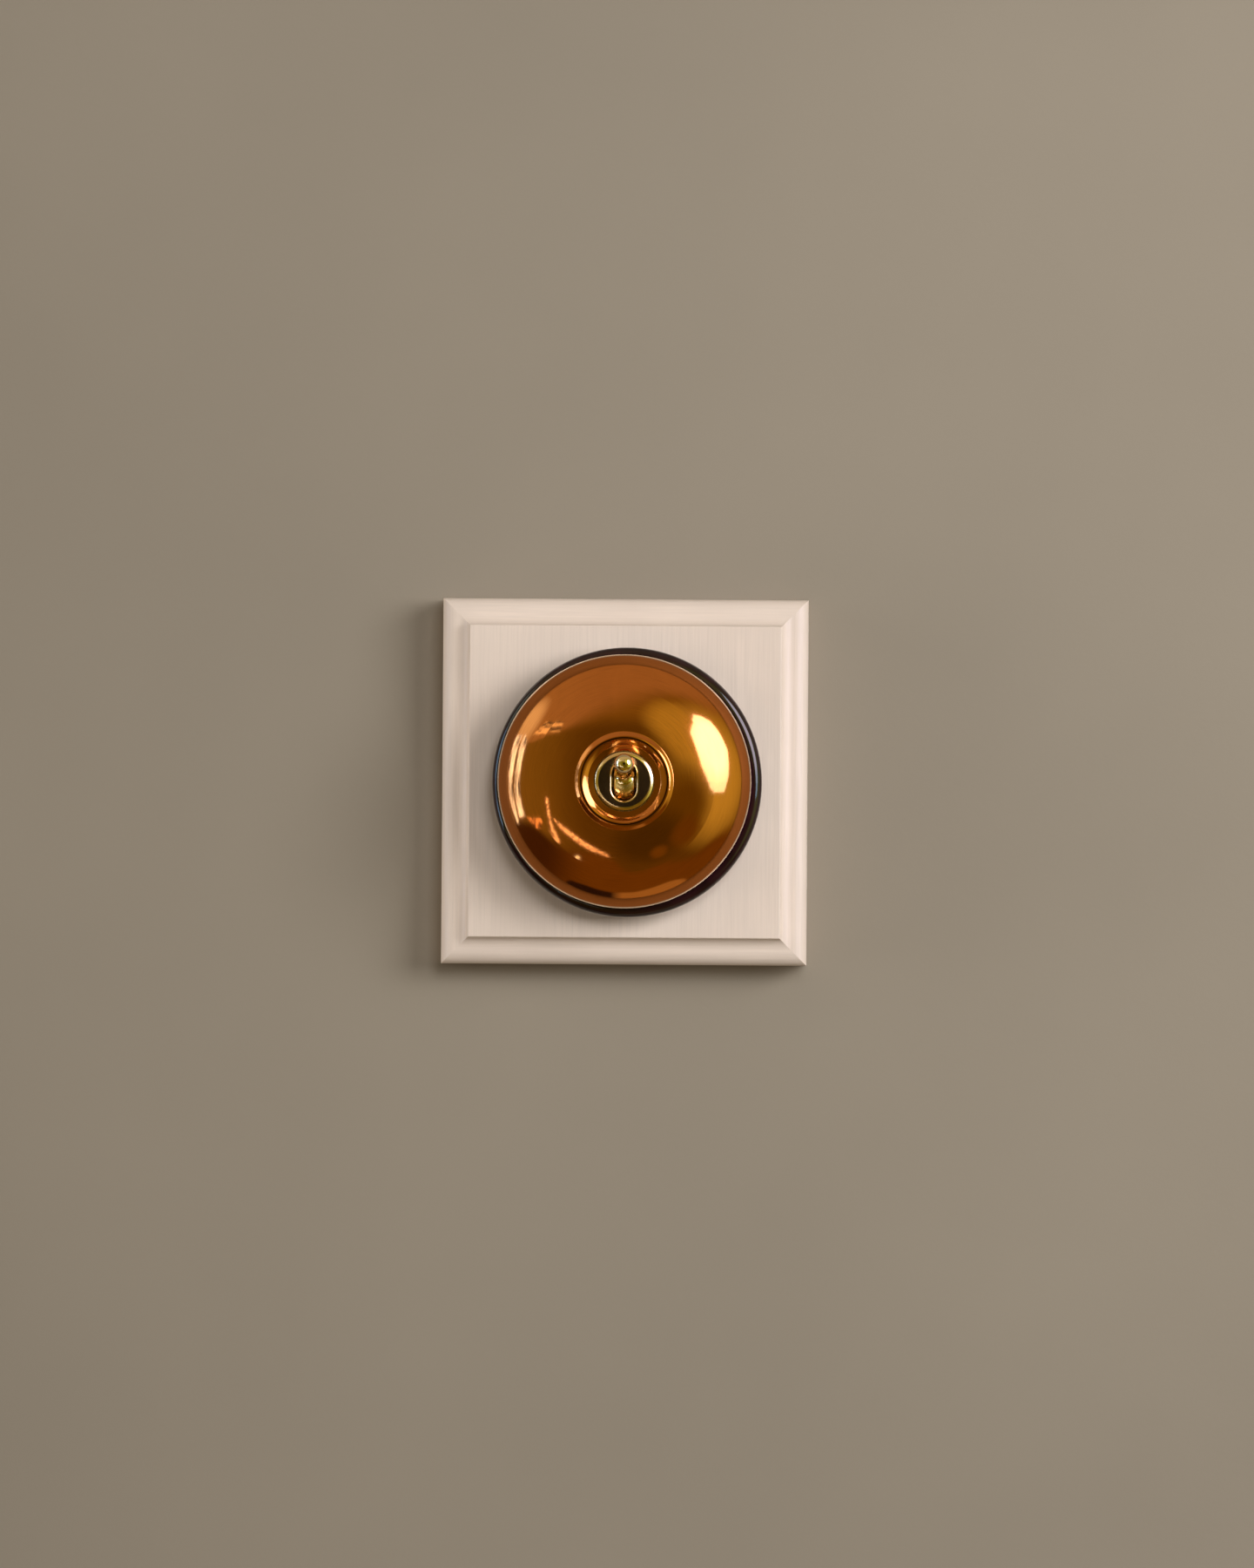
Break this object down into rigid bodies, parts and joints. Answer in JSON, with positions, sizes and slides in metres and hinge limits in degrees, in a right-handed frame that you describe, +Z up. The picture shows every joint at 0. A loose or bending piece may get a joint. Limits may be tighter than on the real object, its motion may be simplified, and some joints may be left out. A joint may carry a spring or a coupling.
{
  "type": "dolly toggle switch",
  "caption": "Wall switch with a moulded square wood block, a round glazed ceramic base, a domed beaded copper cover and a ball-ended dolly that toggles up and down.",
  "frame": {"origin": "centre of the wood block's back face, midway between its two wall screw holes", "axes": "+Z up the wall, +X to the right seen from the room, +Y into the wall, so the dolly points to -Y"},
  "size_m": [0.095, 0.0563, 0.095],
  "materials": {
    "painted_wood": "brushed eggshell paint",
    "dark_glaze": "gloss",
    "copper": "polished",
    "polished_brass": "polished",
    "brass": "machined",
    "silver": "satin",
    "screw_steel": "plated",
    "nylon": "satin",
    "spring_steel": "drawn wire"
  },
  "bodies": {
    "base": {"wood_block": "painted_wood", "ceramic_base": "dark_glaze", "cover": "copper", "nozzle": "polished_brass", "cover_bush": "brass", "pivot_pin": "brass", "pivot_washer_left": "brass", "pivot_washer_right": "brass", "bridge": "brass", "common_bracket": "brass", "upper_contact": "brass", "lower_contact": "brass", "rocker_pin": "brass", "earth_rivet": "brass", "earth_strap": "brass", "earth_terminal": "brass", "upper_terminal": "brass", "common_terminal": "brass", "lower_terminal": "brass", "upper_contact_tip": "silver", "lower_contact_tip": "silver", "base_screw_left": "screw_steel", "base_screw_right": "screw_steel", "bridge_screw_left": "brass", "bridge_screw_right": "brass", "earth_terminal_screw": "brass", "earth_back_screw": "brass", "upper_terminal_screw": "brass", "upper_back_screw": "brass", "common_terminal_screw": "brass", "common_back_screw": "brass", "lower_terminal_screw": "brass", "lower_back_screw": "brass"},
    "dolly": {"dolly": "polished_brass", "plunger_spring": "spring_steel"},
    "plunger": {"plunger": "nylon"},
    "rocker": {"rocker": "brass", "rocker_tip_upper": "silver", "rocker_tip_lower": "silver"}
  },
  "joints": [
    {"name": "dolly_toggle", "type": "hinge", "parent": "base", "child": "dolly", "pos_m": [0, -0.03997, 0], "axis": [1, 0, 0], "range_deg": [0, 34.6]},
    {"name": "rocker_tilt", "type": "hinge", "parent": "base", "child": "rocker", "pos_m": [0, -0.0264, 0], "axis": [1, 0, 0], "range_deg": [-18, 0]},
    {"name": "plunger_slide", "type": "slide", "parent": "dolly", "child": "plunger", "axis": [0, -0.9548, 0.2974], "range_m": [0, 0.0006], "stiffness_N_per_m": 400, "springref_m": -0.002, "deforming": ["plunger_spring"]}
  ],
  "couplings": [
    {"joint": "rocker_tilt", "follows": "dolly_toggle", "ratio": -0.52}
  ]
}
